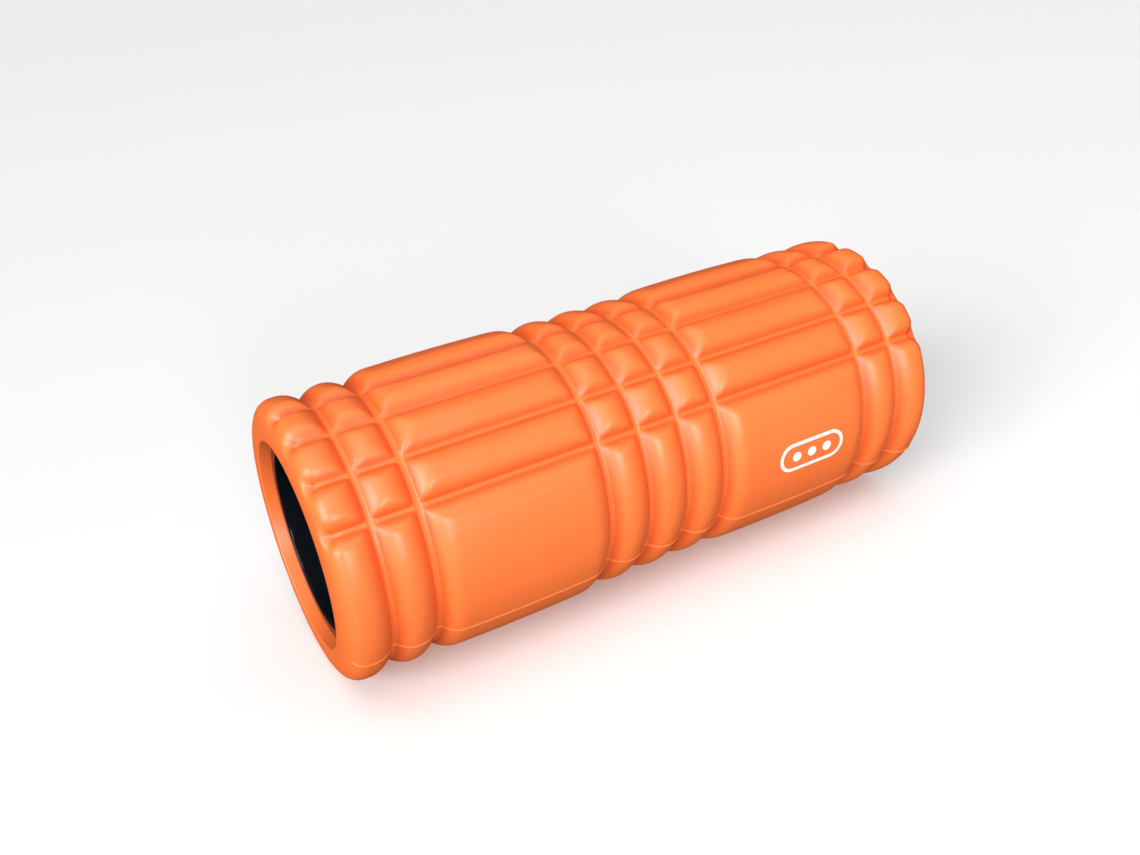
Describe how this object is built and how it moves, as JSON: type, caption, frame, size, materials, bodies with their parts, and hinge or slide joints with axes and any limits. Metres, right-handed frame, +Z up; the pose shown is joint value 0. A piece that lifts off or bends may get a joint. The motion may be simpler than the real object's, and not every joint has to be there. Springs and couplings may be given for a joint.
{
  "type": "foam roller",
  "caption": "Hollow-core massage roller: a grooved foam sleeve with rings, pads and long smooth panels, bonded onto a rigid tube.",
  "frame": {"origin": "on the roller's axis, halfway along its length", "axes": "+X along the axis towards the end with the printed mark, +Z up, with a lengthwise groove straight down so that the roller rests on the two crowns beside it"},
  "size_m": [0.33, 0.1401, 0.1386],
  "materials": {
    "foam": "matt moulded closed-cell foam with a smooth skin",
    "tube": "satin extruded black plastic",
    "adhesive": "cured contact adhesive",
    "ink": "pale screen-printed ink"
  },
  "bodies": {
    "root": {"foam_sleeve": "foam", "core_tube": "tube", "bond_film": "adhesive", "printed_mark": "ink"}
  },
  "joints": []
}
